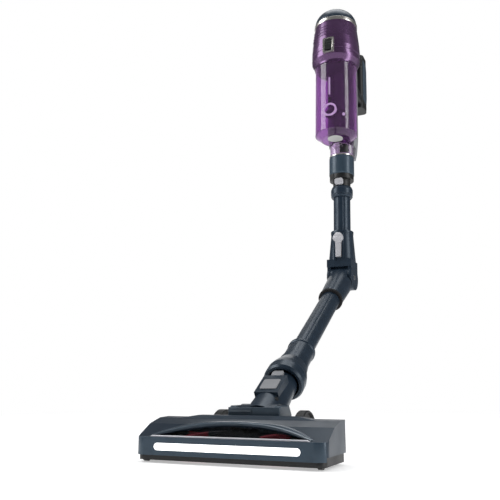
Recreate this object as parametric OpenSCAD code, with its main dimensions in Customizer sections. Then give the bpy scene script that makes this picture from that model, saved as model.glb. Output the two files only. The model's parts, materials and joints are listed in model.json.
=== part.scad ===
// Cordless stick vacuum: floor head, hinged wand and hand-held cleaner.
// Every length is in millimetres and every angle in degrees. +Z is up and
// the floor head faces -Y. The origin is the centre of the hand grip.

/* [Floor head] */
// Width of the floor head
head_w = 255; // [245:1:275]
// Depth of the full-width part of the head
head_d = 86; // [86:1:88]
// Height of the cover at its rear edge
head_h = 56; // [54:1:60]
// Length of the light bar on the front
light_len = 195; // [150:1:200]
// Outer radius of the brush roll, with its bristles
brush_r = 18.5; // [17:0.1:18.5]
// Radius of the rear wheels
rear_wheel_r = 31; // [28:0.5:32]
// Radius of the small front wheels
front_wheel_r = 6; // [5:0.5:6]

/* [Wand] */
// Lean of the lower tube from the vertical, as the vacuum is posed
lower_lean = 57.5; // [40:0.5:65]
// Lean of the upper tube from the vertical, as the vacuum is posed
upper_lean = 4.2; // [0:0.1:8]
// Distance from the head's pivot to the knee's pivot
lower_len = 480; // [460:1:540]
// Outer radius of the lower tube
lower_tube_r = 17.5; // [17:0.1:18]
// Outer radius of the upper tube
upper_tube_r = 17; // [16.5:0.1:17.4]
// Wall of both tubes
tube_wall = 1.6; // [1.2:0.1:2]

/* [Hand-held cleaner] */
// Outer radius of the dust bin
bin_r = 43; // [42:0.5:43.5]
// How far the bin's axis stands in front of the wand's axis
bin_forward = 36; // [35:0.5:37]
// Height of the bin's floor above the knee's pivot
bin_base = 282; // [282:1:286]
// Height of the seam above the bin
seam_z = 452; // [450:1:454]
// Radius of the motor shell at its widest
shell_r = 50.5; // [50:0.1:51]
// Distance from the wand's axis to the middle of the grip
grip_back = 130; // [124:1:136]

/* [Hidden] */
$fn = 64;
eps = 0.01;
fit = 0.05;
gap = 0.3;
slip = 0.02;

slate = "#3d4a56";
slate_light = "#5b6975";
black = "#15171a";
silver = "#d4d3cf";
purple = "#7a4a8a";

// Pivot of the neck on the head, then of the knee, measured from the floor.
pivot_y = head_d + 27;
pivot_z = 46;
knee_y = pivot_y + lower_len * sin(lower_lean);
knee_z = pivot_z + lower_len * cos(lower_lean);
// Middle of the grip along the wand, then measured from the floor.
grip_z = 505;
origin_y = knee_y + grip_back * cos(upper_lean) + grip_z * sin(upper_lean);
origin_z = knee_z - grip_back * sin(upper_lean) + grip_z * cos(upper_lean);

// ---------- frames ----------

module head_frame() {
  translate([0, -origin_y, -origin_z])
    children();
}

module lower_frame() {
  head_frame()
    translate([0, pivot_y, pivot_z])
      rotate([-lower_lean, 0, 0])
        children();
}

module upper_frame() {
  head_frame()
    translate([0, knee_y, knee_z])
      rotate([-upper_lean, 0, 0])
        children();
}

// ---------- helpers ----------

module xcyl(r, w) {
  rotate([0, 90, 0])
    cylinder(r = r, h = w, center = true);
}

module ring(r_out, r_in, h) {
  difference() {
    cylinder(r = r_out, h = h);
    translate([0, 0, -1])
      cylinder(r = r_in, h = h + 2);
  }
}

module block(x, y, z) {
  translate([-x / 2, y[0], z[0]])
    cube([x, y[1] - y[0], z[1] - z[0]]);
}

module mirror_x() {
  children();
  mirror([1, 0, 0])
    children();
}

// A flat plate with rounded corners, standing on the XZ plane.
module shield(w, h, r, depth) {
  rotate([90, 0, 0])
    linear_extrude(depth)
      hull()
        for (x = [-1, 1], z = [0, 1])
          translate([x * (w / 2 - r), r + z * (h - 2 * r)])
            circle(r = r, $fn = 32);
}

// ---------- floor head ----------

wall = 2.5;
sole_z = 3;
tray_h = 11;
front_y = 8.3;
bumper_z = 9;
brush_y = 38;
brush_z = 19.5;
brush_len = 220;
chamber = [17.5, 58.5];
motor_y = 71.9;
motor_z = 26;
motor_r = 11.2;
motor_x = -66;
pulley_x = 121;
belt_w = 5;
wheel_x = 60;
wheel_y = head_d + rear_wheel_r + 1.5;
front_wheel_x = 117;
front_wheel_y = 15;
rear_arm_x = 54;
bulkhead_z = 45;
screw_at = [[60, 14.3], [98, 72]];

// Plan of the head, with round front corners.
module head_outline(inset) {
  front_r = 14;
  rear_r = 8;
  for (x = [-1, 1]) {
    translate([x * (head_w / 2 - front_r), front_r])
      circle(r = front_r - inset);
    translate([x * (head_w / 2 - rear_r), head_d - rear_r])
      circle(r = rear_r - inset);
  }
  translate([inset - head_w / 2, front_r])
    square([head_w - 2 * inset, head_d - rear_r - front_r]);
  translate([front_r - head_w / 2, inset])
    square([head_w - 2 * front_r, head_d - 2 * inset]);
  translate([rear_r - head_w / 2, front_r])
    square([head_w - 2 * rear_r, head_d - front_r - inset]);
}

module outline_slab(inset, y0, y1, z0, z1) {
  translate([0, 0, z0])
    linear_extrude(z1 - z0)
      intersection() {
        head_outline(inset);
        translate([-head_w / 2, y0])
          square([head_w, y1 - y0]);
      }
}

// Full-width shell with a raised deck in the middle.
module cover_solid(inset, base = sole_z + tray_h) {
  intersection() {
    linear_extrude(80)
      head_outline(inset);
    translate([-head_w / 2 - 1, 0, 0])
      rotate([90, 0, 90])
        linear_extrude(head_w + 2)
          polygon([[front_y + inset, base], [front_y + inset, 30 - 0.6 * inset],
                   [head_d - 50, 45.5 - 1.1 * inset], [head_d - 26, 52 - inset],
                   [head_d - 5, 53 - inset], [head_d - inset, 49.5 - inset / 2], [head_d - inset, base]]);
  }
  hull() {
    block(206 - 2 * inset, [head_d - 28 + inset, head_d - 7 - inset], [40, 51 - inset]);
    block(140 - 2 * inset, [head_d - 22 + inset, head_d - 9 - inset], [40, head_h - inset]);
  }
}

// Lens-shaped outline of the window over the brush.
module window_prism(shrink) {
  chord = 108;
  rise = 26;
  arc_r = (chord * chord + rise * rise) / (2 * rise);
  intersection() {
    translate([0, front_y + 1.5 + rise - arc_r, 20])
      cylinder(r = arc_r - shrink, h = 40, $fn = 256);
    block(2 * chord, [front_y + 1.5 + shrink, 60], [20, 60]);
  }
}

module head_cover() color(slate) head_frame()
  difference() {
    cover_solid(0);
    difference() {
      cover_solid(wall, 0);
      mirror_x()
        translate([duct_r + 7, chamber[1] + gap, sole_z + tray_h + 1])
          cube([brush_len / 2 - duct_r - 7, 1.6, 80]);
    }
    window_prism(0);
    // Opening at the back for the bulkhead
    block(2 * rear_arm_x - 1.4, [head_d - 8, head_d + 2], [0, bulkhead_z + gap]);
  }

module brush_window() color("#2b2f36", 0.6) head_frame()
  intersection() {
    window_prism(0.3);
    difference() {
      cover_solid(0.4);
      cover_solid(2.2);
    }
  }

module light_slot(grow, y0, y1) {
  translate([0, y1, 19.5])
    rotate([90, 0, 0])
      linear_extrude(y1 - y0)
        hull()
          for (x = [-1, 1])
            translate([x * (light_len / 2 - 4.4), 0])
              circle(r = 4.4 + grow);
}

module front_bumper() color(slate_light) head_frame()
  difference() {
    outline_slab(0, 0, 8, bumper_z, 31);
    light_slot(0, -1, 10);
    light_slot(2, 5, 10);
    mirror_x()
      translate([front_wheel_x, front_wheel_y, front_wheel_r])
        xcyl(front_wheel_r + 1.5, 7.6);
  }

module light_lens() color("white") head_frame()
  light_slot(-0.05, -0.4, 5);

module light_board() color("#2e7d4f") head_frame()
  light_slot(1.5, 5.1, 6.8);

module chassis() color(black) head_frame()
  difference() {
    union() {
      outline_slab(wall + 0.3, front_y + wall + 0.3, head_d, sole_z, sole_z + tray_h);
      // Lip under the bumper
      outline_slab(2.5, 2.5, front_y + 6, sole_z, bumper_z - gap);
      // End walls of the brush chamber
      mirror_x()
        translate([brush_len / 2 + 1, chamber[0], sole_z + tray_h - eps])
          cube([4, chamber[1] - chamber[0] - 1, 13]);
      // Motor cradle
      block(190, [chamber[1] + 4, head_d - wall - 0.4], [sole_z + tray_h - eps, 18]);
      // Bulkhead, floor and arms behind the head
      block(2 * rear_arm_x - 2, [head_d - wall - 0.2, head_d], [8, bulkhead_z]);
      block(2 * rear_arm_x - 2, [head_d - 4, head_d + 38], [8, 13]);
      mirror_x()
        translate([rear_arm_x - 10, head_d - wall, 8])
          cube([9, wheel_y - head_d + 11, rear_wheel_r + 1]);
    }
    // Suction mouth
    block(brush_len + 1.6, chamber, [-5, sole_z + tray_h + 20]);
    // Air port to the neck
    translate([0, head_d + 12, 30])
      rotate([90, 0, 0])
        cylinder(r = 13, h = 40);
    translate([0, brush_y, brush_z])
      xcyl(3 + fit, 240);
    mirror_x()
      translate([brush_len / 2 + 0.5, brush_y, brush_z])
        rotate([0, 90, 0])
          cylinder(r = 7 + slip, h = 3.5);
    // Motor space, pulley space and wheel wells
    translate([motor_x, motor_y, motor_z])
      xcyl(motor_r + gap, 96);
    translate([-pulley_x + 2.2, 0, 0])
      block(7.6, [brush_y - 13, motor_y + 12], [sole_z + 3, 60]);
    mirror_x()
      translate([front_wheel_x, front_wheel_y, front_wheel_r]) {
        xcyl(front_wheel_r + 1.5, 7.6);
        xcyl(1.5 + fit, 11);
      }
    translate([0, wheel_y, rear_wheel_r])
      xcyl(3 + slip, 140);
    // Screw holes in the sole
    mirror_x()
      for (at = screw_at)
        translate([at[0], at[1], sole_z - 1]) {
          cylinder(r = 1.5, h = 11.5);
          cylinder(r = 2.6, h = 3);
        }
  }

module head_screws() color("#8d9094") head_frame()
  mirror_x()
    for (at = screw_at)
      translate([at[0], at[1], sole_z + 0.4])
        difference() {
          union() {
            cylinder(r = 2.5, h = 1.6);
            cylinder(r = 1.45, h = 9);
          }
          translate([0, 0, -1])
            cylinder(r = 1.1, h = 2, $fn = 6);
        }

module sole_lip() color("#2a2c30") head_frame()
  block(214, [60, 62], [0.8, sole_z - 0.02]);

module brush_roll() color("#3a3d42") head_frame()
  translate([0, brush_y, brush_z])
    union() {
      xcyl(11, brush_len);
      translate([-2.5, 0, 0])
        xcyl(3, brush_len + 21);
    }

// Four spiral rows of bristles round the roller
module brush_bristles() color("#a83a48") head_frame()
  translate([-brush_len / 2 + 4, brush_y, brush_z])
    rotate([0, 90, 0])
      linear_extrude(brush_len - 8, twist = 200, slices = 40, $fn = 12)
        for (a = [0, 90, 180, 270])
          rotate(a)
            translate([11.05, -1.6])
              square([brush_r - 11.05, 3.2]);

module brush_bearings() color("#b0b4b8") head_frame()
  mirror_x()
    translate([brush_len / 2 + 0.8, brush_y, brush_z])
      rotate([0, 90, 0])
        ring(7, 3 + fit, 3);

module brush_pulley() color("#d8d8d4") head_frame()
  translate([-pulley_x, brush_y, brush_z])
    rotate([0, 90, 0])
      ring(10, 3 + slip, belt_w);

module brush_motor() color("#8c9096") head_frame()
  translate([motor_x, motor_y, motor_z])
    union() {
      xcyl(motor_r, 80);
      xcyl(5, 88);
    }

module motor_pulley() color("#d8d8d4") head_frame()
  translate([-pulley_x, motor_y, motor_z])
    rotate([0, 90, 0])
      union() {
        cylinder(r = 6, h = belt_w);
        cylinder(r = 1.6, h = belt_w + 5.4);
      }

module drive_belt() color(black) head_frame()
  translate([-pulley_x + 0.5, 0, 0])
    rotate([90, 0, 90])
      linear_extrude(belt_w - 1)
        difference() {
          hull() {
            translate([brush_y, brush_z])
              circle(r = 11.5);
            translate([motor_y, motor_z])
              circle(r = 7.5);
          }
          hull() {
            translate([brush_y, brush_z])
              circle(r = 10.15);
            translate([motor_y, motor_z])
              circle(r = 6.15);
          }
        }

module rear_wheel() {
  rotate([0, 90, 0])
    difference() {
      rotate_extrude()
        polygon([[3 + fit, 1], [9, 1], [9, 3], [rear_wheel_r - 4, 3], [rear_wheel_r - 3, 0],
                 [rear_wheel_r - 1.2, 0], [rear_wheel_r, 1.4], [rear_wheel_r, 11.6],
                 [rear_wheel_r - 1.2, 13], [rear_wheel_r - 3, 13], [rear_wheel_r - 4, 10],
                 [9, 10], [9, 12], [3 + fit, 12]]);
      for (a = [0 : 60 : 300])
        rotate(a)
          translate([16.5, 0, -1])
            cylinder(r = 4.2, h = 20, $fn = 32);
    }
}

module rear_wheel_right() color(black) head_frame()
  translate([wheel_x - 6.5, wheel_y, rear_wheel_r])
    rear_wheel();

module rear_wheel_left() color(black) head_frame()
  mirror([1, 0, 0])
    translate([wheel_x - 6.5, wheel_y, rear_wheel_r])
      rear_wheel();

module rear_axles() color("#b8bcc0") head_frame()
  mirror_x()
    translate([rear_arm_x - 9.5, wheel_y, rear_wheel_r])
      rotate([0, 90, 0])
        union() {
          cylinder(r = 3, h = wheel_x + 8 - rear_arm_x + 9);
          translate([0, 0, wheel_x + 7.2 - rear_arm_x + 9])
            cylinder(r = 5, h = 1.6);
        }

module front_wheel() {
  xcyl(front_wheel_r, 6);
  xcyl(1.5, 10);
}

module front_wheel_right() color(black) head_frame()
  translate([front_wheel_x, front_wheel_y, front_wheel_r])
    front_wheel();

module front_wheel_left() color(black) head_frame()
  translate([-front_wheel_x, front_wheel_y, front_wheel_r])
    front_wheel();

// ---------- neck ----------

drum_r = 24;
cheek_in = 27.5;
cheek_out = 37;
pin_r = 5;
duct_r = 13.5;
fork_y = head_d + 2.5;
fork_top = 68;

module pivot_cheeks() color(slate_light) head_frame()
  difference() {
    mirror_x()
      translate([cheek_in, 0, 0])
        rotate([90, 0, 90])
          linear_extrude(cheek_out - cheek_in)
            polygon([[fork_y, 13 + eps], [pivot_y + 11, 13 + eps], [pivot_y + 19, 28],
                     [pivot_y + 19, 56], [pivot_y + 10, fork_top], [fork_y + 5, fork_top],
                     [fork_y, fork_top - 5]]);
    translate([0, pivot_y, pivot_z])
      xcyl(pin_r + slip, 90);
  }

module pivot_pins() color("#b8bcc0") head_frame()
  mirror_x()
    translate([22.3, pivot_y, pivot_z])
      rotate([0, 90, 0])
        cylinder(r = pin_r, h = cheek_out - 22.3 - 0.5);

module neck_body() color(slate) lower_frame()
  difference() {
    union() {
      xcyl(drum_r, 54);
      cylinder(r1 = 26.5, r2 = 22, h = 78);
      translate([0, 0, 78 - eps])
        cylinder(r = 22, h = 16);
      translate([0, 0, 94 - 2 * eps])
        cylinder(r = 19, h = 30);
      // Square saddle that carries the plate
      block(36, [-25, 0], [34, 78]);
    }
    xcyl(drum_r - 3.5, 44);
    cylinder(r = duct_r, h = 130);
    // Mouth of the drum, facing the head
    rotate([lower_lean, 0, 0])
      rotate([-20, 0, 0])
        block(40, [-30, 0], [-16, 8]);
    rotate([lower_lean, 0, 0])
      rotate([20, 0, 0])
        block(40, [-30, 0], [-8, 10]);
    xcyl(pin_r + fit, 80);
    // Seat of the release button
    translate([0, -duct_r - 0.8, 78.5])
      shield(17.6, 14.6, 4, 20);
  }

// Guard plate in front of the pivot, with the air port through it
module neck_skirt() color(slate_light) head_frame()
  difference() {
    block(2 * cheek_out, [head_d + gap, fork_y - slip], [13 + eps, fork_top - 2]);
    translate([0, head_d + 12, 30])
      rotate([90, 0, 0])
        cylinder(r = 13, h = 40);
  }

module neck_plate() color("#a9adb0") lower_frame()
  translate([0, -25, 42])
    shield(25, 24, 2.5, 1.2);

module head_release() color("#9da1a4") lower_frame()
  translate([0, -duct_r - 3, 79])
    shield(17, 13.6, 3.8, 7.6);

// ---------- lower wand ----------

ring_z = 95;
socket_len = 94;
lower_top = lower_len - socket_len;

module swivel_ring() color(slate) lower_frame()
  translate([0, 0, ring_z])
    rotate_extrude()
      polygon([[25, 0], [29, 0], [31.2, 4], [31.2, 18], [29, 28], [23.5, 46], [23.5, 52],
               [16.2, 52], [16.2, 33], [19 + fit, 33], [19 + fit, 20], [23, 14]]);

module lower_collar() color(slate) lower_frame()
  translate([0, 0, ring_z + 52.3])
    rotate_extrude()
      polygon([[lower_tube_r + slip, 0], [22.5, 0], [22.5, 6], [21.3, 8], [21.3, 40], [22.6, 42],
               [22.6, 46], [lower_tube_r + 1.5, 49], [lower_tube_r + slip, 49]]);

module fluted_tube(r, z0, z1) {
  difference() {
    translate([0, 0, z0])
      cylinder(r = r, h = z1 - z0);
    translate([0, 0, z0 - 1])
      cylinder(r = r - tube_wall, h = z1 - z0 + 2);
    // A pair of shallow flutes beside the front
    for (a = [-118, -62, 62, 118])
      rotate(a)
        translate([r + 3.4, 0, z0 - 1])
          cylinder(r = 4, h = z1 - z0 + 2);
  }
}

module lower_tube() color(slate) lower_frame()
  fluted_tube(lower_tube_r, ring_z + 52.4, lower_top + 10);

module knee_rim() color(black) lower_frame()
  translate([0, 0, lower_top - 6])
    rotate_extrude()
      polygon([[lower_tube_r + slip, 0], [21.5, 0], [22.8, 1.5], [22.8, 4], [21.5, 5.9],
               [lower_tube_r + slip, 5.9]]);

// ---------- knee ----------

knee_r = 25;
ear_in = 17.3;
ear_out = 24.5;
latch_y = -18.9;

module knee_drum() color(slate) lower_frame()
  difference() {
    translate([0, 0, lower_len])
      union() {
        xcyl(knee_r, 2 * ear_in - 0.6);
        translate([0, 0, -socket_len])
          cylinder(r1 = 21.6, r2 = 24.6, h = socket_len - 28);
        intersection() {
          translate([0, 0, -28 - eps])
            cylinder(r = 24.6, h = 28);
          block(2 * ear_in - 0.6, [-25, 25], [-30, 0]);
        }
      }
    translate([0, 0, lower_top - 1])
      cylinder(r = lower_tube_r + slip, h = 11.1);
    translate([0, 0, lower_top])
      cylinder(r = 14, h = 100);
    translate([0, 0, lower_len]) {
      // Airway that opens towards the upper wand at every angle
      block(22, [-30, 11], [-1, 30]);
      xcyl(pin_r + fit, 60);
      // Space for the ears
      mirror_x()
        translate([ear_in + 10 - 0.3, 0, 0])
          xcyl(knee_r + 1.5, 20);
    }
  }

module knee_liner() color("#26282c") lower_frame()
  translate([0, 0, lower_top + 12])
    rotate_extrude()
      polygon([[11, 0], [13.98, 0], [13.98, 54], [12.6, 56], [11, 56]]);

module knee_pins() color("#b8bcc0") upper_frame()
  mirror_x()
    translate([12.8, 0, 0])
      rotate([0, 90, 0])
        cylinder(r = pin_r, h = ear_out - 12.8 + 0.6);

knee_top = 95;

module knee_housing() color(slate) upper_frame()
  difference() {
    union() {
      // Ears round the drum
      mirror_x()
        translate([ear_in, 0, 0])
          rotate([0, 90, 0])
            cylinder(r = knee_r, h = ear_out - ear_in);
      hull() {
        translate([0, 0, 27])
          intersection() {
            cylinder(r = 27, h = 6);
            block(2 * ear_out, [-25, 25], [-1, 10]);
          }
        translate([0, 0, knee_top - 14])
          cylinder(r = 21.8, h = 10, $fn = 48);
      }
      translate([0, 0, knee_top - 5])
        ring(22.6, 18, 5);
      mirror_x()
        translate([ear_in, -22, 0])
          cube([ear_out - ear_in, 44, 34]);
      // Front wall that closes the gap over the drum
      block(2 * ear_out, [-25, -12], [18.5, 34]);
      // Boss that the lever runs in
      block(20, [-26, -10], [34, 88]);
    }
    translate([0, 0, -1])
      cylinder(r = 14, h = 120);
    translate([0, 0, knee_top - 22])
      cylinder(r = upper_tube_r + slip, h = 40);
    xcyl(knee_r + 0.4, 2 * ear_in);
    xcyl(pin_r + slip, 60);
    // Groove for the lever and bore for the latch
    block(12.6, [-40, -23.5], [30, 100]);
    translate([0, latch_y, 18])
      cylinder(r = 2.2 + fit, h = 30);
    block(8.6, [-30, -16.5], [38, 60]);
    // Seat of the back cover
    block(26, [22, 40], [-20, 70]);
  }

module knee_back_cover() color("#2c343c") upper_frame()
  difference() {
    union() {
      block(25.6, [22.1, 27.5], [26.5, 69.5]);
      block(25.6, [25.6, 30], [-14, 40]);
    }
    block(14, [27.6, 40], [-8, 16]);
    xcyl(knee_r + 0.5, 60);
  }

// Thumb lever with a round head and a tapering stem
module knee_lever() color("#e0e0e4") upper_frame()
  difference() {
    union() {
      translate([0, -26.3, 76.5])
        rotate([90, 0, 0])
          cylinder(r = 10.2, h = 7);
      translate([0, -23.8, 38])
        rotate([90, 0, 0])
          linear_extrude(5.5)
            polygon([[-5.2, 0], [5.2, 0], [6.1, 38], [-6.1, 38]]);
      block(6, [-23.9, -17.2], [46, 52]);
    }
    translate([0, -37, 81])
      xcyl(7, 30);
  }

module knee_latch() color("#8d9094") upper_frame()
  translate([0, latch_y, 19.2])
    cylinder(r = 2.2, h = 15.8);

// ---------- upper wand ----------

upper_top = 172;

module upper_tube() color(slate) upper_frame()
  fluted_tube(upper_tube_r, knee_top - 21.9, upper_top + 16);

module tube_bulb() color(slate) upper_frame()
  translate([0, 0, upper_top - 4])
    rotate_extrude()
      polygon([[upper_tube_r + slip, 0], [20, 0], [22, 3], [20.6, 4.2], [20.6, 5.4], [22.3, 7],
               [22.3, 17], [20.5, 22], [17.8, 24], [upper_tube_r + slip, 24]]);

module wand_head() color(black) upper_frame()
  difference() {
    union() {
      translate([0, 0, upper_top + 20.1])
        cylinder(r = 17.7, h = 17);
      translate([0, 0, upper_top + 34])
        cylinder(r = 24.6, h = 10);
      translate([0, 0, upper_top + 40])
        cylinder(r = 19, h = 40);
      // Lug that keys the wand to the nozzle
      rotate(-125)
        translate([18, -5, upper_top + 31])
          cube([9, 10, 13]);
    }
    translate([0, 0, upper_top + 16.1])
      cylinder(r = 14.5, h = 70);
    translate([0, -15.2, upper_top + 20])
      shield(17.6, 14, 4.5, 12);
  }

module wand_release() color("#dcdcde") upper_frame()
  translate([0, -17.4, upper_top + 20.3])
    shield(17, 13.3, 4.2, 5.8);

// ---------- hand-held cleaner ----------

nozzle_z = upper_top + 44.3;
bin_y = -bin_forward;
rear_y = 34;
spine_w = 31;
spine_front = 0;
spine_z = nozzle_z + 42.6;
bin_in = bin_r - 2.2;
inlet_y = -13.2;
inlet_r = 7;
lip_y = -28;
lip_z = bin_base - 1;
lip_r = 2.2;

module nozzle_collar() color(slate_light) upper_frame()
  translate([0, 0, nozzle_z])
    rotate_extrude()
      polygon([[19 + fit, 0], [24.8, 0], [25.6, 2], [25.6, 38], [25, 40], [19 + fit, 40]]);

module trim_band() color(silver) upper_frame()
  translate([0, 0, nozzle_z + 40.1])
    ring(25.2, 20, 2.4);

module inlet_neck() color("#b79ac6", 0.6) upper_frame()
  difference() {
    union() {
      translate([0, 0, nozzle_z + 42.6])
        cylinder(r = 23.5, h = bin_base - nozzle_z - 43);
      // Cradle for the lip that the bin tilts on
      block(18, [lip_y - 3, -20], [lip_z - 6, lip_z - 0.7]);
    }
    translate([0, 0, nozzle_z])
      cylinder(r = 15, h = 80);
    translate([0, inlet_y, nozzle_z])
      cylinder(r = inlet_r, h = 80);
    translate([0, lip_y, lip_z])
      xcyl(lip_r + 0.1, 30);
    block(60, [15.4, 60], [nozzle_z, bin_base + 10]);
  }

module spine_outline(half_w, r) {
  for (x = [-1, 1])
    translate([x * (half_w - r), rear_y - r])
      circle(r = r);
  translate([-half_w, spine_front])
    square([2 * half_w, rear_y - r - spine_front]);
  translate([r - half_w, spine_front])
    square([2 * (half_w - r), rear_y - spine_front]);
}

// Spine behind the bin, which carries the motor shell and the handle
module rear_body() color("#8b8f96") upper_frame()
  difference() {
    translate([0, 0, spine_z])
      linear_extrude(seam_z + 44 - spine_z)
        spine_outline(spine_w, 18);
    // Sides drawn in towards the nozzle
    mirror_x()
      translate([23, -20, spine_z])
        rotate([0, 8.4, 0])
          translate([0, 0, -12])
            cube([60, 80, 92]);
    translate([0, bin_y, bin_base - 10])
      cylinder(r = bin_r + gap + 0.3, h = seam_z - bin_base + 2.2);
    translate([0, bin_y, seam_z - 9])
      cylinder(r = shell_r + slip, h = 70);
    block(100, [-40, spine_front], [nozzle_z, seam_z + 60]);
    block(90, [0, 15.5], [nozzle_z, bin_base + 1.5]);
    // Slopes at the bottom and the top of the back
    translate([-50, 25.8, nozzle_z + 42])
      rotate([-12, 0, 0])
        cube([100, 40, 120]);
    translate([-50, rear_y, seam_z + 24])
      rotate([40, 0, 0])
        cube([100, 40, 60]);
    // Hollow for the wiring
    block(44, [12, rear_y - 6.5], [bin_base + 36, seam_z + 18]);
    // Charging socket in the spine's back
    translate([0, rear_y + 1, bin_base + 40])
      rotate([90, 0, 0])
        cylinder(r = 2.75, h = 12);
  }

module dust_bin() color(purple, 0.5) upper_frame()
  difference() {
    union() {
      translate([0, lip_y, lip_z])
        xcyl(lip_r, 20);
      translate([0, bin_y, bin_base])
        rotate_extrude()
          polygon([[0, 0.2], [30, 0.2], [bin_r, 10], [bin_r, seam_z - bin_base - 9.5],
                   [bin_in, seam_z - bin_base - 9.5], [bin_in, 11], [29, 2.4], [0, 2.4]]);
    }
    translate([0, inlet_y, bin_base - 3])
      cylinder(r = inlet_r, h = 12);
  }

module inlet_flap() color("#b9bbbd") upper_frame()
  translate([0, -22.8, bin_base + 2.8])
    union() {
      cylinder(r = 15.4, h = 1.8);
      translate([0, -14.5, 0.9])
        xcyl(0.9, 16);
    }

// Pale ring low on the front of the bin
module bin_ring() color("#c9a6d8") upper_frame()
  difference() {
    translate([0, bin_y - bin_r + 4, bin_base + 50])
      rotate([90, 0, 0])
        ring(14, 10.4, 6.2);
    translate([0, bin_y, bin_base])
      cylinder(r = bin_r + slip, h = 100);
  }

module cyclone() color("#1c1a24") upper_frame()
  translate([0, bin_y, bin_base])
    difference() {
      union() {
        translate([0, 0, 60])
          cylinder(r1 = 24, r2 = 17, h = 14);
        translate([0, 0, 30])
          cylinder(r1 = 9, r2 = 13, h = 40);
        translate([0, 0, 74 - eps])
          cylinder(r = 17, h = 78);
        translate([0, 0, 148])
          cylinder(r1 = 17, r2 = bin_in - 0.4, h = 10);
        translate([0, 0, 158 - eps])
          cylinder(r = bin_in - 0.4, h = 2.4);
      }
      translate([0, 0, 28])
        cylinder(r = 7, h = 150);
      translate([0, 0, 76])
        cylinder(r = 15, h = 100);
      // Rows of slots through the shroud
      for (z = [82 : 11 : 137], a = [0 : 45 : 135])
        translate([0, 0, z])
          rotate(a)
            cube([40, 3, 6], center = true);
    }

shell_top = 540;
shell_top_r = 44.6;
neck_in_r = 48.9;
shell_h = shell_top - seam_z + 8.8;

module motor_shell() color(purple, 0.6) upper_frame()
  translate([0, bin_y, seam_z - 9])
    rotate_extrude()
      polygon([[bin_r - 0.6, 0], [bin_r + 1.4, 0], [bin_r + 1.4, 4], [shell_r - 0.6, 14],
               [shell_r, 18], [shell_r, 25], [shell_r - 0.9, 25.6], [shell_r - 0.9, 26.6],
               [shell_r, 27.2], [shell_r, 38], [neck_in_r, shell_h - 36.8],
               [shell_top_r, shell_h], [shell_top_r - 2.4, shell_h],
               [neck_in_r - 2.4, shell_h - 36.8], [shell_r - 3, 38], [shell_r - 3, 16],
               [bin_r - 0.6, 5]]);

module latch_frame() color(silver) upper_frame()
  difference() {
    translate([0, bin_y - shell_r + 2.6, seam_z + 6])
      shield(24, 34, 3, 6);
    translate([0, bin_y - shell_r + 10, seam_z + 9])
      shield(15.4, 28, 2, 20);
    translate([0, bin_y, seam_z - 9])
      cylinder(r = shell_r + slip, h = 70);
  }

module bin_latch() color("#23262c") upper_frame()
  difference() {
    translate([0, bin_y - shell_r - 0.4, seam_z + 12.6])
      shield(14.8, 23.6, 1.8, 2.8);
    translate([0, bin_y - shell_r - 7, seam_z + 28])
      xcyl(5, 30);
  }

module filter() color("#e4e2da") upper_frame()
  translate([0, bin_y, seam_z + 8])
    union() {
      ring(38, 16, 16);
      translate([0, 0, 16 - eps])
        ring(40, 14, 2);
    }

module suction_motor() color("#70757c") upper_frame()
  translate([0, bin_y, seam_z + 36])
    difference() {
      union() {
        cylinder(r = 32, h = 8);
        translate([0, 0, 8 - eps])
          cylinder(r = 26, h = 30);
        translate([0, 0, 38 - 2 * eps])
          cylinder(r = 34, h = 5);
      }
      cylinder(r = 3 + fit, h = 90, center = true);
      translate([0, 0, -1])
        cylinder(r = 29, h = 7);
    }

module impeller() color("#c8ccd0") upper_frame()
  translate([0, bin_y, seam_z + 36.6])
    union() {
      cylinder(r = 26, h = 1);
      cylinder(r1 = 9, r2 = 4, h = 4.6);
      cylinder(r = 3, h = 36);
      for (a = [0 : 40 : 320])
        rotate(a)
          translate([8, -0.5, 0])
            cube([17.5, 1, 4.2]);
    }

module shell_ring() color(silver) upper_frame()
  translate([0, bin_y, shell_top])
    rotate_extrude()
      polygon([[41, 0], [45.2, 0], [45.6, 2], [45.4, 7], [44.6, 8], [41, 8]]);

cap_h = 36;
cap_r = 44.2;

module top_cap() color(slate) upper_frame()
  translate([0, bin_y, shell_top + 8.1])
    difference() {
      rotate_extrude()
        polygon(concat(
          [for (a = [0 : 6 : 90]) [cap_r * cos(a), cap_h * sin(a)]],
          [for (a = [90 : -10 : 0]) [(cap_r - 2.4) * cos(a), (cap_h - 2.4) * sin(a)]]));
      // Outlet slots round the crown
      for (a = [0 : 15 : 345])
        rotate(a)
          translate([24, -1, 10])
            cube([12, 2, 40]);
    }

grip_lo = 436;
grip_hi = 566;
grip_front = grip_back - 20;
grip_w = 38;
grip_d = 40;

module grip_outline(shrink) {
  hull()
    for (x = [-1, 1], y = [-1, 1])
      translate([x * (grip_w / 2 - 10), grip_back + y * (grip_d / 2 - 10)])
        circle(r = 10 - shrink, $fn = 32);
}

// A bar that runs from one rounded end, y, z, width and height, to another.
module rounded_bar(from, to, r) {
  hull()
    for (end = [from, to], x = [-1, 1], z = [0, 1])
      translate([x * (end[2] / 2 - r), end[0], end[1] + r + z * (end[3] - 2 * r)])
        rotate([90, 0, 0])
          cylinder(r = r, h = 3, $fn = 32);
}

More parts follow.
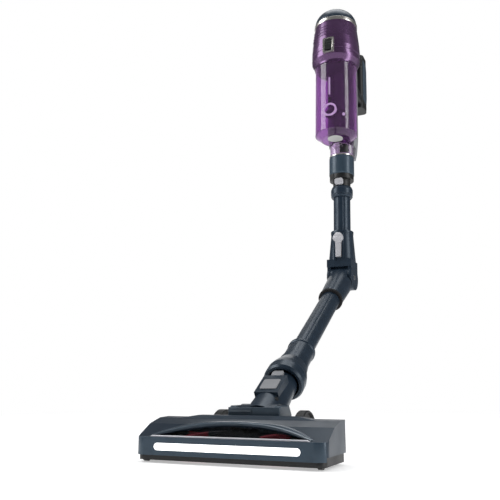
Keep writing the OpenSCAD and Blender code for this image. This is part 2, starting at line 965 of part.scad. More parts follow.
// Loop handle behind the motor shell
module handle() color("#2c353e") upper_frame()
  difference() {
    union() {
      translate([0, 0, grip_lo])
        linear_extrude(grip_hi - grip_lo)
          grip_outline(0);
      rounded_bar([8, shell_top - 28, 34, 27], [grip_back, grip_hi - 31, 32, 29], 8);
      rounded_bar([rear_y + 3 + slip, grip_lo - 4, 38, 34], [grip_back, grip_lo + 2, 32, 24], 8);
    }
    translate([0, bin_y, shell_top - 80])
      cylinder(r = shell_r + slip, h = 43.1);
    translate([0, bin_y, shell_top - 37])
      cylinder(r1 = neck_in_r + slip, r2 = shell_top_r + slip, h = 36.8);
    translate([0, bin_y, shell_top - 0.3])
      cylinder(r = 46.2, h = 60);
    block(60, [0, rear_y + slip], [0, seam_z + 44.1]);
    // Bay for the battery, open at the bottom
    translate([0, 0, grip_lo - 1])
      linear_extrude(101)
        grip_outline(3);
    // Slot for the trigger
    block(12.6, [grip_front - 22, grip_front + 9], [grip_hi - 56.2, grip_hi - 30.8]);
  }

module trigger() color("#9da1a4") upper_frame()
  translate([0, grip_front - 5, grip_hi - 43.5])
    difference() {
      block(12, [-3, 9], [-12, 12]);
      translate([0, -13, 0])
        xcyl(14, 20);
    }

module battery_pack() color("#1b1e22") upper_frame()
  union() {
    translate([0, 0, grip_lo - 7])
      linear_extrude(6.9)
        grip_outline(0.4);
    translate([0, 0, grip_lo - 0.2])
      linear_extrude(72)
        grip_outline(3.3);
  }

chassis();
head_cover();
front_bumper();
light_lens();
light_board();
brush_window();
brush_roll();
brush_bristles();
brush_bearings();
brush_motor();
motor_pulley();
brush_pulley();
drive_belt();
rear_wheel_left();
rear_wheel_right();
rear_axles();
front_wheel_left();
front_wheel_right();
sole_lip();
head_screws();
pivot_cheeks();
neck_body();
neck_skirt();
neck_plate();
pivot_pins();
head_release();
swivel_ring();
lower_collar();
lower_tube();
knee_rim();
knee_drum();
knee_liner();
knee_pins();
knee_housing();
knee_back_cover();
knee_lever();
knee_latch();
upper_tube();
tube_bulb();
wand_head();
wand_release();
nozzle_collar();
trim_band();
inlet_neck();
rear_body();
dust_bin();
inlet_flap();
bin_ring();
cyclone();
motor_shell();
latch_frame();
bin_latch();
filter();
suction_motor();
impeller();
shell_ring();
top_cap();
handle();
trigger();
battery_pack();
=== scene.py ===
import json
import math

import bmesh
import bpy
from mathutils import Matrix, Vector
from mathutils.bvhtree import BVHTree


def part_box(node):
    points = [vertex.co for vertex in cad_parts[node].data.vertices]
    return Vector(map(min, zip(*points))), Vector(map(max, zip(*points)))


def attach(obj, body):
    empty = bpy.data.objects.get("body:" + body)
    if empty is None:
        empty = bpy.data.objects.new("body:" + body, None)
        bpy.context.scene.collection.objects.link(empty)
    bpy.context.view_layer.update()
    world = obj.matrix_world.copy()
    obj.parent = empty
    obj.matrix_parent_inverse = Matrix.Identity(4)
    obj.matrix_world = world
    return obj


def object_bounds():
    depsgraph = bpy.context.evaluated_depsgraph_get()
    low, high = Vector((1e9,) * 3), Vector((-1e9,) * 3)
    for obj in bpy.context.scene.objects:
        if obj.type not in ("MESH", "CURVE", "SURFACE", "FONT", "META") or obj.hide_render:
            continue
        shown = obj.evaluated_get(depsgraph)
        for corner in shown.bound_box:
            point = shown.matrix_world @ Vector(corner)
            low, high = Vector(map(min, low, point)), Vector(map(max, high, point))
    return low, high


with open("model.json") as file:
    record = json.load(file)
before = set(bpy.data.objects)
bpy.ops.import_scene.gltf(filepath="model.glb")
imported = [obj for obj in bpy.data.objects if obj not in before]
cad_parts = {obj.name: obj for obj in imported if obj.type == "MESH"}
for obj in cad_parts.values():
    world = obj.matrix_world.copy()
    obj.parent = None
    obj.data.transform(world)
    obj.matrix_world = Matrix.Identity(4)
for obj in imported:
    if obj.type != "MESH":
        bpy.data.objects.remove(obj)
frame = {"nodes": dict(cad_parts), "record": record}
CAD_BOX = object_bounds()
LO, HI = CAD_BOX
CENTRE = (LO + HI) / 2
MM = 0.001
scene = bpy.context.scene


# ---------- camera, floor and light ----------

CAMERA_AZIMUTH, CAMERA_PITCH = 24.6, 11.9
CAMERA_LENS, SENSOR_WIDTH = 47.16, 36
CLIP_START, CLIP_END = 0.05, 60
# The camera in metres: to the side, in front of the part's front, and over the floor
CAMERA_X, CAMERA_BEFORE, CAMERA_OVER = 0.3675, 0.726, 0.091

SOFT_LIGHT = (0.86, 0.88, 0.9, 1)
SOFT_STRENGTH = 0.15
WHITE = (1, 1, 1, 1)

# The floor is a square this far from its middle to each side
FLOOR_HALF = 30
# The floor's middle lies this far in front of the part's middle
FLOOR_FORWARD = 0.15
FLOOR_GAP = 0.0004
PAPER = (0.9, 0.9, 0.9, 1)
PAPER_ROUGHNESS, PAPER_SPECULAR, PAPER_GLOW = 0.6, 0.15, 0.42
# Between these distances the paper turns evenly white
SWEEP_START, SWEEP_END = 0.7, 1.7

# Name, place, target, width, height and watts
LIGHTS = (
    ("key", (-1.6, -1.1, 0.6), CENTRE, 1.0, 2.0, 34),
    ("strip_right", (1.7, -0.5, 0.1), CENTRE, 0.5, 2.0, 20),
    ("top", (0.1, 0.1, 1.9), (0.1, -0.3, -1), 1.8, 1.6, 30),
    ("back", (-0.9, 1.7, 0.6), CENTRE, 1.0, 1.6, 6),
)


def aim(obj, direction):
    obj.rotation_mode = "QUATERNION"
    obj.rotation_quaternion = Vector(direction).to_track_quat("-Z", "Y")


def add_object(name, data):
    obj = bpy.data.objects.new(name, data)
    scene.collection.objects.link(obj)
    return obj


def make_camera():
    azimuth, pitch = math.radians(CAMERA_AZIMUTH), math.radians(CAMERA_PITCH)
    cam = add_object("camera", bpy.data.cameras.new("camera"))
    cam.data.lens = CAMERA_LENS
    cam.data.sensor_width = SENSOR_WIDTH
    cam.data.clip_start, cam.data.clip_end = CLIP_START, CLIP_END
    cam.location = (CAMERA_X, LO.y - CAMERA_BEFORE, LO.z + CAMERA_OVER)
    aim(cam, (-math.sin(azimuth) * math.cos(pitch), math.cos(azimuth) * math.cos(pitch),
              math.sin(pitch)))
    scene.camera = cam


def area_light(name, place, target, width, height, power):
    data = bpy.data.lights.new(name, "AREA")
    data.shape = "RECTANGLE"
    data.size, data.size_y = width, height
    data.energy = power
    light = add_object(name, data)
    light.visible_transmission = False
    light.location = place
    aim(light, Vector(target) - Vector(place))


def make_world():
    """White behind the part and through its clear pieces, soft grey in its reflections."""
    world = bpy.data.worlds.new("studio")
    scene.world = world
    world.use_nodes = True
    tree = world.node_tree
    tree.nodes.clear()
    out = tree.nodes.new("ShaderNodeOutputWorld")
    soft = tree.nodes.new("ShaderNodeBackground")
    soft.inputs["Color"].default_value = SOFT_LIGHT
    soft.inputs["Strength"].default_value = SOFT_STRENGTH
    white = tree.nodes.new("ShaderNodeBackground")
    white.inputs["Color"].default_value = WHITE
    path = tree.nodes.new("ShaderNodeLightPath")
    seen = tree.nodes.new("ShaderNodeMath")
    seen.operation = "MAXIMUM"
    tree.links.new(path.outputs["Is Camera Ray"], seen.inputs[0])
    tree.links.new(path.outputs["Is Transmission Ray"], seen.inputs[1])
    mix = tree.nodes.new("ShaderNodeMixShader")
    tree.links.new(seen.outputs[0], mix.inputs["Fac"])
    tree.links.new(soft.outputs[0], mix.inputs[1])
    tree.links.new(white.outputs[0], mix.inputs[2])
    tree.links.new(mix.outputs[0], out.inputs["Surface"])


def make_floor():
    half = FLOOR_HALF
    mesh = bpy.data.meshes.new("floor")
    mesh.from_pydata([(-half, -half, 0), (half, -half, 0), (half, half, 0), (-half, half, 0)],
                     [], [(0, 1, 2, 3)])
    floor = add_object("floor", mesh)
    floor.location = (0, CENTRE.y - FLOOR_FORWARD, LO.z - FLOOR_GAP)
    mat = bpy.data.materials.new("floor")
    mat.use_nodes = True
    tree = mat.node_tree
    shader = tree.nodes["Principled BSDF"]
    shader.inputs["Base Color"].default_value = PAPER
    shader.inputs["Roughness"].default_value = PAPER_ROUGHNESS
    shader.inputs["Specular IOR Level"].default_value = PAPER_SPECULAR
    shader.inputs["Emission Color"].default_value = WHITE
    shader.inputs["Emission Strength"].default_value = PAPER_GLOW
    # The paper turns into an evenly lit white sweep away from the vacuum
    glow = tree.nodes.new("ShaderNodeEmission")
    far = tree.nodes.new("ShaderNodeMapRange")
    far.interpolation_type = "SMOOTHSTEP"
    far.inputs["From Min"].default_value = SWEEP_START
    far.inputs["From Max"].default_value = SWEEP_END
    length = tree.nodes.new("ShaderNodeVectorMath")
    length.operation = "LENGTH"
    coords = tree.nodes.new("ShaderNodeTexCoord")
    mix = tree.nodes.new("ShaderNodeMixShader")
    tree.links.new(coords.outputs["Object"], length.inputs[0])
    tree.links.new(length.outputs["Value"], far.inputs["Value"])
    tree.links.new(far.outputs["Result"], mix.inputs["Fac"])
    tree.links.new(shader.outputs[0], mix.inputs[1])
    tree.links.new(glow.outputs[0], mix.inputs[2])
    tree.links.new(mix.outputs[0], tree.nodes["Material Output"].inputs["Surface"])
    mesh.materials.append(mat)


scene.view_settings.view_transform = "Standard"
make_camera()
make_world()
make_floor()
for row in LIGHTS:
    area_light(*row)


# ---------- materials ----------

# Noise scales, per metre
BROAD_SCALE, SCRATCH_SCALE, SMUDGE_SCALE = 38, 260, 45
COAT_ROUGHNESS = 0.12
# How far roughness goes under and over its stated value, and its least value
SMOOTHER, ROUGHER, LEAST_ROUGH = 0.03, 0.05, 0.02
EDGE_RADIUS = 0.0006
EDGE_SAMPLES = 4
# Between these likenesses of the rounded and the plain normal, a sharp edge fades out
EDGE_FROM, EDGE_TO = 0.80, 0.96
SCRATCH_FROM, SCRATCH_TO = 0.42, 0.66
# A worn edge is the base colour, lifted and brightened
WORN_LIFT, WORN_GAIN = 0.04, 1.9
BAND_BLUR = 0.002


def node(tree, kind, **values):
    made = tree.nodes.new(kind)
    for key, value in values.items():
        setattr(made, key, value)
    return made


def noise_at(tree, coords, scale, detail, rough=0.55):
    made = node(tree, "ShaderNodeTexNoise")
    made.inputs["Scale"].default_value = scale
    made.inputs["Detail"].default_value = detail
    made.inputs["Roughness"].default_value = rough
    tree.links.new(coords, made.inputs["Vector"])
    return made.outputs["Fac"]


def ranged(tree, value, low, high, from_low=0.3, from_high=0.7):
    made = node(tree, "ShaderNodeMapRange")
    for key, number in (("From Min", from_low), ("From Max", from_high),
                        ("To Min", low), ("To Max", high)):
        made.inputs[key].default_value = number
    tree.links.new(value, made.inputs["Value"])
    return made.outputs["Result"]


def multiplied(tree, a, b):
    made = node(tree, "ShaderNodeMath", operation="MULTIPLY")
    tree.links.new(a, made.inputs[0])
    tree.links.new(b, made.inputs[1])
    return made.outputs[0]


def blend_colour(tree, factor, a, b):
    """Colour a where the factor is 0 and b where it is 1; either may be a colour or a socket."""
    made = node(tree, "ShaderNodeMix", data_type="RGBA")
    for key, colour in (("A", a), ("B", b)):
        socket = [s for s in made.inputs if s.name == key and s.type == "RGBA"][0]
        if hasattr(colour, "is_output"):
            tree.links.new(colour, socket)
        else:
            socket.default_value = (*colour, 1)
    factors = [s for s in made.inputs if s.name == "Factor" and s.type == "VALUE"]
    tree.links.new(factor, factors[0])
    return [s for s in made.outputs if s.type == "RGBA"][0]


def edge_mask(tree):
    """1 on sharp edges, 0 on flat surfaces."""
    bevel = node(tree, "ShaderNodeBevel", samples=EDGE_SAMPLES)
    bevel.inputs["Radius"].default_value = EDGE_RADIUS
    geometry = node(tree, "ShaderNodeNewGeometry")
    dot = node(tree, "ShaderNodeVectorMath", operation="DOT_PRODUCT")
    tree.links.new(bevel.outputs[0], dot.inputs[0])
    tree.links.new(geometry.outputs["Normal"], dot.inputs[1])
    return ranged(tree, dot.outputs["Value"], 1.0, 0.0, EDGE_FROM, EDGE_TO)


def band_mask(tree, coords, inner, outer):
    """1 where the distance along X from the middle lies between inner and outer, else 0."""
    split = node(tree, "ShaderNodeSeparateXYZ")
    tree.links.new(coords, split.inputs[0])
    along = node(tree, "ShaderNodeMath", operation="ABSOLUTE")
    tree.links.new(split.outputs["X"], along.inputs[0])
    return multiplied(tree, ranged(tree, along.outputs[0], 0, 1, inner - BAND_BLUR, inner + BAND_BLUR),
                      ranged(tree, along.outputs[0], 1, 0, outer - BAND_BLUR, outer + BAND_BLUR))


def scaled(colour, k):
    return tuple(min(1.0, c * k) for c in colour)


def surface(name, colour, rough, metallic=0.0, grain=900, bump=0.15, vary=0.10, wear=0.25, coat=0.0,
            specular=0.5, transmission=0.0, ior=1.46, sheen=0.0, brushed=None, glow=None,
            depth=0.00015, sheen_tint=(1, 1, 1), bands=None):
    """A material with a varied tone, worn edges, smudges and a fine relief.

    grain is the relief's scale, brushed stretches it, glow is an emission colour and strength, and
    bands are the inner and outer distance of a coloured band and the colour outside it."""
    mat = bpy.data.materials.new(name)
    mat.use_nodes = True
    tree = mat.node_tree
    shader = tree.nodes["Principled BSDF"]
    for key, number in (("Metallic", metallic), ("Coat Weight", coat), ("Specular IOR Level", specular),
                        ("Transmission Weight", transmission), ("IOR", ior), ("Sheen Weight", sheen),
                        ("Coat Roughness", COAT_ROUGHNESS)):
        shader.inputs[key].default_value = number
    shader.inputs["Specular Tint"].default_value = (*sheen_tint, 1)
    coords = node(tree, "ShaderNodeTexCoord").outputs["Object"]
    fine_coords = coords
    if brushed:
        mapping = node(tree, "ShaderNodeMapping")
        mapping.inputs["Scale"].default_value = brushed
        tree.links.new(coords, mapping.inputs["Vector"])
        fine_coords = mapping.outputs[0]
    broad = noise_at(tree, coords, BROAD_SCALE, 4)
    fine = noise_at(tree, fine_coords, grain, 2)
    tone = blend_colour(tree, ranged(tree, broad, 0, 1), scaled(colour, 1 - vary), scaled(colour, 1 + vary))
    if wear:
        scratch = noise_at(tree, coords, SCRATCH_SCALE, 4, 0.7)
        worn = multiplied(tree, edge_mask(tree), ranged(tree, scratch, 0.0, wear, SCRATCH_FROM, SCRATCH_TO))
        tone = blend_colour(tree, worn, tone, scaled(tuple(c + WORN_LIFT for c in colour), WORN_GAIN))
    if bands:
        inner, outer, outside = bands
        tone = blend_colour(tree, band_mask(tree, coords, inner, outer), outside, tone)
    tree.links.new(tone, shader.inputs["Base Color"])
    smudge = noise_at(tree, coords, SMUDGE_SCALE, 2, 0.5)
    roughness = ranged(tree, smudge, max(LEAST_ROUGH, rough - SMOOTHER), min(1, rough + ROUGHER))
    tree.links.new(roughness, shader.inputs["Roughness"])
    relief = node(tree, "ShaderNodeBump")
    relief.inputs["Strength"].default_value = bump
    relief.inputs["Distance"].default_value = depth
    tree.links.new(fine, relief.inputs["Height"])
    tree.links.new(relief.outputs[0], shader.inputs["Normal"])
    if glow:
        shader.inputs["Emission Color"].default_value = (*glow[0], 1)
        shader.inputs["Emission Strength"].default_value = glow[1]
    return mat


COOL = (0.74, 0.87, 1.0)
MATERIALS = {
    "slate": surface("slate", (0.012, 0.021, 0.034), 0.32, bump=0.02, wear=0.30, sheen_tint=COOL),
    "slate_light": surface("slate_light", (0.030, 0.048, 0.068), 0.32, coat=0.05, bump=0.02,
                           wear=0.25, sheen_tint=COOL),
    "black": surface("black", (0.0045, 0.005, 0.006), 0.42, bump=0.35, grain=1400, wear=0.2),
    "rubber": surface("rubber", (0.008, 0.008, 0.009), 0.7, bump=0.3, grain=700, wear=0.15,
                      specular=0.3),
    "silver": surface("silver", (0.66, 0.64, 0.60), 0.26, metallic=1.0, bump=0.05, vary=0.05,
                      wear=0.0, brushed=(1, 1, 12)),
    "silver_plastic": surface("silver_plastic", (0.55, 0.55, 0.58), 0.3, metallic=0.3, coat=0.3,
                              bump=0.05, vary=0.04, wear=0.0),
    "grey": surface("grey", (0.24, 0.245, 0.26), 0.36, coat=0.1, bump=0.12, wear=0.2),
    # slate_gloss is glossy slate, and its lighter colour is partly a painted highlight, on the window rim
    # and the guard face
    "slate_gloss": surface("slate_gloss", (0.055, 0.074, 0.096), 0.2, coat=0.4, bump=0.05,
                           wear=0.15, sheen_tint=COOL),
    "purple": surface("purple", (0.50, 0.25, 0.59), 0.10, transmission=0.96, specular=0.35,
                      bump=0.015, grain=120, vary=0.05, wear=0.0),
    "purple_shell": surface("purple_shell", (0.105, 0.048, 0.128), 0.27, metallic=0.7, coat=0.35,
                            bump=0.008, grain=160, vary=0.06, wear=0.1),
    "lilac_solid": surface("lilac_solid", (0.56, 0.36, 0.66), 0.25, transmission=0.2, coat=0.3,
                           bump=0.03, grain=220, vary=0.05, wear=0.0),
    "bright_trim": surface("bright_trim", (0.74, 0.73, 0.78), 0.25, coat=0.4, bump=0.04, vary=0.03,
                           wear=0.1),
    "pale_disc": surface("pale_disc", (0.42, 0.43, 0.41), 0.35, bump=0.06, vary=0.06, wear=0.1),
    "lilac": surface("lilac", (0.74, 0.56, 0.82), 0.12, transmission=0.75, bump=0.03, grain=220,
                     vary=0.05, wear=0.0),
    "smoke": surface("smoke", (0.46, 0.47, 0.50), 0.03, transmission=1.0, ior=1.06, specular=0.1,
                     bump=0.01, grain=180, vary=0.05, wear=0.0),
    "light": surface("light", (0.95, 0.95, 0.95), 0.4, bump=0.05, vary=0.01, wear=0.0,
                     glow=((1, 1, 1), 1.4)),
    "board": surface("board", (0.02, 0.12, 0.05), 0.5, bump=0.2, wear=0.0),
    "steel": surface("steel", (0.55, 0.56, 0.58), 0.24, metallic=1.0, bump=0.06, vary=0.05,
                     wear=0.0, brushed=(14, 1, 1)),
    "motor": surface("motor", (0.12, 0.12, 0.13), 0.42, metallic=0.6, bump=0.15, wear=0.1),
    "filter": surface("filter", (0.30, 0.27, 0.32), 0.9, bump=0.8, grain=500, wear=0.0, sheen=0.4),
    "bristle": surface("bristle", (0.46, 0.03, 0.05), 0.6, bump=0.9, grain=1500, wear=0.0,
                       sheen=0.3, depth=0.0006, bands=(0.037, 0.073, (0.020, 0.022, 0.024))),
}

SLOT_OF = {row["node"]: row["material_slot"] for row in frame["record"]["subparts"]}
# Nodes whose look differs from their slot's
FINISH = {"motor_shell": "purple_shell", "bin_ring": "lilac_solid"}
for name, obj in frame["nodes"].items():
    obj.data.materials.clear()
    obj.data.materials.append(MATERIALS[FINISH.get(name, SLOT_OF[name])])


# ---------- rounded edges on the carried-over parts ----------

# Node and the width of its rounding in mm
ROUNDED = {
    "head_cover": 1.4, "front_bumper": 1.2, "chassis": 0.6, "pivot_cheeks": 1.2, "neck_body": 1.4,
    "neck_plate": 0.4, "head_release": 0.7, "knee_housing": 1.2, "knee_back_cover": 1.2,
    "knee_lever": 1.0, "knee_drum": 0.8, "wand_release": 0.8, "latch_frame": 0.7, "bin_latch": 0.6,
    "handle": 1.6, "trigger": 1.0, "battery_pack": 1.0, "rear_body": 1.6, "wand_head": 0.8,
    "brush_window": 0.5, "neck_skirt": 0.6,
}
WELD_DISTANCE = 0.00001
NODE_EDGE_ANGLE, PIECE_EDGE_ANGLE = 28, 35


def round_edges(obj, width, segments, angle):
    bevel = obj.modifiers.new("bevel", "BEVEL")
    bevel.width = width * MM
    bevel.segments = segments
    bevel.limit_method = "ANGLE"
    bevel.angle_limit = math.radians(angle)


for name, width in ROUNDED.items():
    obj = frame["nodes"][name]
    obj.modifiers.new("weld", "WELD").merge_threshold = WELD_DISTANCE
    round_edges(obj, width, 3, NODE_EDGE_ANGLE)


# ---------- frames of the moving sections ----------

JOINT = {row["name"]: row for row in frame["record"]["behaviour"]["joints"]}
X_AXIS = Vector((1, 0, 0))
# The bumper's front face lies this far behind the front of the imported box, in mm
FRONT_INSET = 0.4


def section_frame(origin, up):
    """A point maker in mm: x to the side, y to the back, z along the section."""
    up = Vector(up).normalized()
    back = up.cross(X_AXIS)
    origin = Vector(origin)

    def place(x, y, z):
        return origin + MM * (x * X_AXIS + y * back + z * up)
    return place


KNEE = Vector(JOINT["knee_bend"]["pos_m"])
PIVOT = Vector(JOINT["neck_pitch"]["pos_m"])
upper = section_frame(KNEE, [-a for a in JOINT["bin_latch_slide"]["axis"]])
lower = section_frame(PIVOT, KNEE - PIVOT)
head = section_frame((0, LO.y + FRONT_INSET * MM, LO.z), (0, 0, 1))
SURFACE = {}


def surface_of(names):
    """The named CAD nodes as one tree for ray casts."""
    if names not in SURFACE:
        verts, faces = [], []
        for name in names:
            mesh = frame["nodes"][name].data
            base = len(verts)
            verts += [v.co.copy() for v in mesh.vertices]
            faces += [[base + i for i in p.vertices] for p in mesh.polygons]
        SURFACE[names] = BVHTree.FromPolygons(verts, faces)
    return SURFACE[names]


def drop(names, start, direction):
    """Where a ray meets the named parts, or None."""
    return surface_of(names).ray_cast(start, Vector(direction).normalized())[0]


# ---------- piece builders ----------

# How deep a plate is sunk into the surface that it lies on, in mm
PLATE_DEPTH = 0.6
BIN_AXIS_Y = -36.0
# Rays towards the bin start this far from its axis, in mm
BIN_REACH = 70


def finish_piece(name, verts, faces, body, material, bevel):
    mesh = bpy.data.meshes.new(name)
    work = bmesh.new()
    points = [work.verts.new(v) for v in verts]
    for face in faces:
        work.faces.new([points[i] for i in face])
    bmesh.ops.recalc_face_normals(work, faces=work.faces)
    work.to_mesh(mesh)
    work.free()
    mesh.polygons.foreach_set("use_smooth", [True] * len(mesh.polygons))
    obj = add_object(name, mesh)
    mesh.materials.append(MATERIALS[material])
    if bevel:
        round_edges(obj, bevel, 2, PIECE_EDGE_ANGLE)
    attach(obj, body)


def loft(name, rings, body, material, bevel=0.0):
    """Skin over rings of points, with its two ends capped."""
    size, count = len(rings[0]), len(rings)
    verts = [v for ring in rings for v in ring]
    faces = []
    for a in range(0, (count - 1) * size, size):
        b = a + size
        for j in range(size):
            k = (j + 1) % size
            faces.append((a + j, a + k, b + k, b + j))
    faces.append(tuple(range(size)))
    faces.append(tuple(reversed(range((count - 1) * size, count * size))))
    finish_piece(name, verts, faces, body, material, bevel)


def patch(name, names, grid, body, material, out, bevel):
    """A plate on the named parts, out mm proud; each grid entry is a ray's start and direction."""
    nu, nv = len(grid), len(grid[0])
    top, under, faces = [], [], []
    for row in grid:
        for start, inward in row:
            hit = drop(names, start, inward)
            if hit is None:
                hit = start
            n = Vector(inward).normalized()
            top.append(hit - n * out * MM)
            under.append(hit + n * PLATE_DEPTH * MM)
    total = nu * nv
    for i in range(nu - 1):
        for j in range(nv - 1):
            a = i * nv + j
            faces.append((a, a + 1, a + nv + 1, a + nv))
            faces.append((total + a, total + a + nv, total + a + nv + 1, total + a + 1))
    rim = [j for j in range(nv)] + [i * nv + nv - 1 for i in range(1, nu)]
    rim += [(nu - 1) * nv + j for j in range(nv - 2, -1, -1)] + [i * nv for i in range(nu - 2, 0, -1)]
    for k in range(len(rim)):
        a, b = rim[k], rim[(k + 1) % len(rim)]
        faces.append((a, total + a, total + b, b))
    finish_piece(name, top + under, faces, body, material, bevel)


def around(radius, angle, z, axis_y, place):
    """A point round a section's axis; angle 0 is its front."""
    a = math.radians(angle)
    return place(radius * math.sin(a), axis_y - radius * math.cos(a), z)


def wrapped(name, names, angles, heights, body, material, reach=BIN_REACH, out=0.8,
            axis_y=BIN_AXIS_Y, bevel=0.2, shape=None, place=upper):
    """A plate wrapped round a section's axis.

    angles and heights are each a start, an end and a number of steps, in degrees and mm, and
    shape(v) narrows the plate at the share v of its height."""
    middle, half = (angles[0] + angles[1]) / 2, (angles[1] - angles[0]) / 2
    grid = []
    for i in range(heights[2] + 1):
        v = i / heights[2]
        z = heights[0] + (heights[1] - heights[0]) * v
        squeeze = shape(v) if shape else 1.0
        row = []
        for j in range(angles[2] + 1):
            u = j / angles[2]
            angle = middle + (2 * u - 1) * half * squeeze
            start = around(reach, angle, z, axis_y, place)
            row.append((start, around(0, angle, z, axis_y, place) - start))
        grid.append(row)
    patch(name, names, grid, body, material, out, bevel)


def oval(v):
    return max(0.12, math.sqrt(max(0.0, 1 - (2 * v - 1) ** 2)))


# ---------- floor head ----------

COVER = ("head_cover", "brush_window")
DOWN = Vector((0, 0, -1))
# Rays to the cover start at this height, and this is its height where they miss it, in mm
OVER_COVER, COVER_EDGE_Z = 200, 30.0

# The brush window's arch in mm: half its chord, its rise, and where its chord lies
WINDOW_HALF, WINDOW_RISE, WINDOW_FRONT = 108.0, 26.0, 9.8
RIM_STEPS = 120
RIM_GAP = 0.4
# The rim's width and height: mm at its ends, mm that the middle adds, and the power of its bow
RIM_WIDTH, RIM_HEIGHT = (3.0, 10.0, 0.8), (0.8, 2.0, 0.6)
# Across the rim: share of its width, and share of its height, or mm where it is below the cover
RIM_SECTION = ((0.04, -1.2), (0.04, 0.5), (0.14, 0.95), (0.35, 1.0), (0.65, 0.8), (0.9, 0.35),
               (1.0, 0.0), (1.0, -1.2))

# The bright line in mm: half its length, its middle, and its section, which tapers at the ends
LINE_HALF, LINE_STEPS, LINE_Y = 107, 80, 6.4
LINE_END, LINE_TAPER = 107.5, 3
LINE_SECTION = ((-1.6, -0.4), (-1.5, 0.9), (-0.9, 1.7), (0.6, 1.8), (1.3, 1.2), (1.4, -0.4))

# The guard's painted highlight, a lighter face on its left part, in mm: from and to this far from the
# guard's left side, and its section as a depth and a height under the guard's top
FACE_FROM, FACE_TO = 1.5, 34
FACE_SECTION = ((0.9, -7.4), (-0.6, -7.4), (-0.6, -1.0), (0.9, -1.0))


def cover_z(x, y):
    hit = drop(COVER, head(x, y, OVER_COVER), DOWN)
    return (hit - head(x, y, 0)).z / MM if hit is not None else COVER_EDGE_Z


def window_rim():
    """Raised rim over the brush window."""
    arc_r = (WINDOW_HALF * WINDOW_HALF + WINDOW_RISE * WINDOW_RISE) / (2 * WINDOW_RISE)
    arc_y = WINDOW_FRONT + WINDOW_RISE - arc_r
    rings = []
    for i in range(RIM_STEPS + 1):
        x = -WINDOW_HALF + 2 * WINDOW_HALF * i / RIM_STEPS
        nx, ny = x / arc_r, math.sqrt(1 - (x / arc_r) ** 2)
        bow = max(0.0, math.cos(math.pi * x / (2 * WINDOW_HALF)))
        wide, tall = (low + more * bow ** power for low, more, power in (RIM_WIDTH, RIM_HEIGHT))
        ring = []
        for part, lift in RIM_SECTION:
            reach = arc_r + RIM_GAP + part * wide
            px, py = reach * nx, arc_y + reach * ny
            ring.append(head(px, py, cover_z(px, py) + (lift * tall if lift > 0 else lift)))
        rings.append(ring)
    # The rim is real, but its lighter slate_gloss colour is partly a painted highlight above the brush
    # window
    loft("window_rim", rings, "head", "slate_gloss")


def bumper_line():
    """Bright line along the top edge of the bumper."""
    top_z = (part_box("front_bumper")[1].z - LO.z) / MM
    rings = []
    for i in range(LINE_STEPS + 1):
        x = -LINE_HALF + 2 * LINE_HALF * i / LINE_STEPS
        taper = min(1.0, (LINE_END - abs(x)) / LINE_TAPER)
        rings.append([head(x, LINE_Y + dy, top_z + dz * taper) for dy, dz in LINE_SECTION])
    loft("bumper_line", rings, "head", "bright_trim")


def guard_painted_highlight():
    """Painted highlight: a lighter face on the left part of the guard plate, above the cover."""
    guard_lo, guard_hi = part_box("neck_skirt")
    top_z = (guard_hi.z - LO.z) / MM
    front = (guard_lo.y - LO.y) / MM - FRONT_INSET
    rings = [[head(guard_lo.x / MM + x, front + dy, top_z + dz) for dy, dz in FACE_SECTION]
             for x in (FACE_FROM, FACE_TO)]
    loft("guard_painted_highlight", rings, "head", "slate_gloss", bevel=0.4)


window_rim()
bumper_line()
guard_painted_highlight()


# ---------- handheld ----------

TICK_HEIGHTS = (351, 357)
TICK_TALL = 2.2
RIB_COUNT, RIB_LOW, RIB_STEP, RIB_TALL = 4, 505, 7, 1.8

# The plate under the bin's floor in mm: its middle, and its section as a radius and a height
DISC_X, DISC_Y, DISC_SIDES = 1, -46.5, 48
DISC_SECTION = ((0.05, 281.6), (13.0, 281.55), (15.2, 281.8), (15.6, 282.3), (0.05, 282.3))

# The sleeve in mm and degrees: its lower and upper end, the grip's middle, how far out its rays
# start, and how far it reaches to each side of the back
SLEEVE_LOW, SLEEVE_HIGH, SLEEVE_ROWS = 449.0, 553.0, 26
GRIP_Y, GRIP_REACH = 130, 60
SLEEVE_SPAN, SLEEVE_SIDES = 128, 48
SLEEVE_THICK, SLEEVE_SUNK = 1.1, 0.8
# The sleeve thins out over a sixth of its length at each end, and over 14 degrees at each side
SLEEVE_END_FADE, SLEEVE_END_THIN = 6, 0.08
SLEEVE_SIDE_FADE, SLEEVE_SIDE_THIN = 14, 0.05

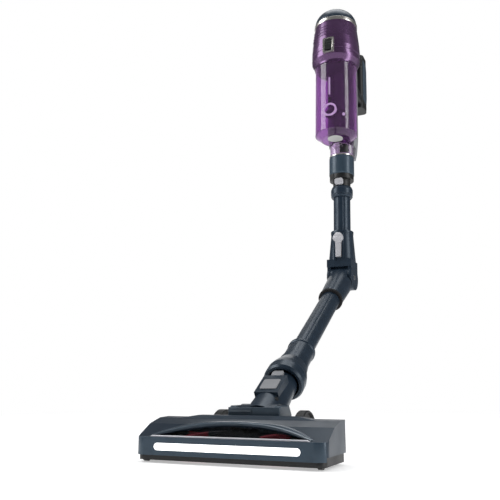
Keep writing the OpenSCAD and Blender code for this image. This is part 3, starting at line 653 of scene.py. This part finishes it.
wrapped("bin_mark", ("dust_bin",), (33, 41, 12), (318, 325, 12), "bin", "lilac_solid",
        shape=oval)
wrapped("bin_rib", ("dust_bin",), (-3.2, 1.2, 6), (366, 405, 20), "bin", "lilac_solid",
        out=0.7)
for i, z in enumerate(TICK_HEIGHTS):
    wrapped("bin_tick_%d" % (i + 1), ("dust_bin",), (-5, 3, 6), (z, z + TICK_TALL, 2), "bin",
            "black", out=0.5, bevel=0.1)
for i in range(RIB_COUNT):
    z = RIB_LOW + RIB_STEP * i
    wrapped("shell_rib_%d" % (i + 1), ("motor_shell",), (-62, -4, 24), (z, z + RIB_TALL, 3),
            "handheld", "purple_shell", out=0.9)


def floor_disc():
    """Round door plate under the bin's floor."""
    turns = [2 * math.pi * k / DISC_SIDES for k in range(DISC_SIDES)]
    rings = [[upper(DISC_X + r * math.cos(a), DISC_Y + r * math.sin(a), z) for a in turns]
             for r, z in DISC_SECTION]
    loft("floor_disc", rings, "bin", "pale_disc")


floor_disc()

# Painted light on the inlet neck: a bright bar on its side is a painted highlight, and a black plate on its
# front is painted shade
wrapped("neck_painted_highlight", ("inlet_neck",), (61, 73, 4), (262.5, 280, 8), "handheld",
        "silver_plastic", axis_y=0.0, reach=40, out=1.0)
# The black plate here is painted shade on the neck
wrapped("neck_painted_shade", ("inlet_neck",), (9, 55, 16), (261.5, 280.5, 8), "handheld", "black",
        axis_y=0.0, reach=40, out=0.6)
# Painted shade: a black oval plate stands in for the shade in the round hole on the neck of the floor head
wrapped("neck_hole_painted_shade", ("neck_body",), (36, 50, 8), (25, 32, 8), "neck", "black", axis_y=0.0,
        reach=45, out=0.5, shape=oval, place=lower)


def grip_sleeve():
    """Soft-touch sleeve on the grip."""
    rings = []
    for i in range(SLEEVE_ROWS + 1):
        v = i / SLEEVE_ROWS
        z = SLEEVE_LOW + (SLEEVE_HIGH - SLEEVE_LOW) * v
        fade = min(1.0, SLEEVE_END_FADE * min(v, 1 - v) + SLEEVE_END_THIN)
        axis = upper(0, GRIP_Y, z)
        outer, inner = [], []
        for k in range(SLEEVE_SIDES + 1):
            angle = -SLEEVE_SPAN + 2 * SLEEVE_SPAN * k / SLEEVE_SIDES
            a = math.radians(angle)
            start = upper(GRIP_REACH * math.sin(a), GRIP_Y + GRIP_REACH * math.cos(a), z)
            hit = drop(("handle",), start, axis - start)
            n = (start - axis).normalized()
            side = min(1.0, (SLEEVE_SPAN - abs(angle)) / SLEEVE_SIDE_FADE + SLEEVE_SIDE_THIN)
            outer.append(hit + n * (SLEEVE_THICK * MM * fade * side))
            inner.append(hit - n * SLEEVE_SUNK * MM)
        rings.append(outer + inner[::-1])
    loft("grip_sleeve", rings, "handheld", "slate_light")


grip_sleeve()
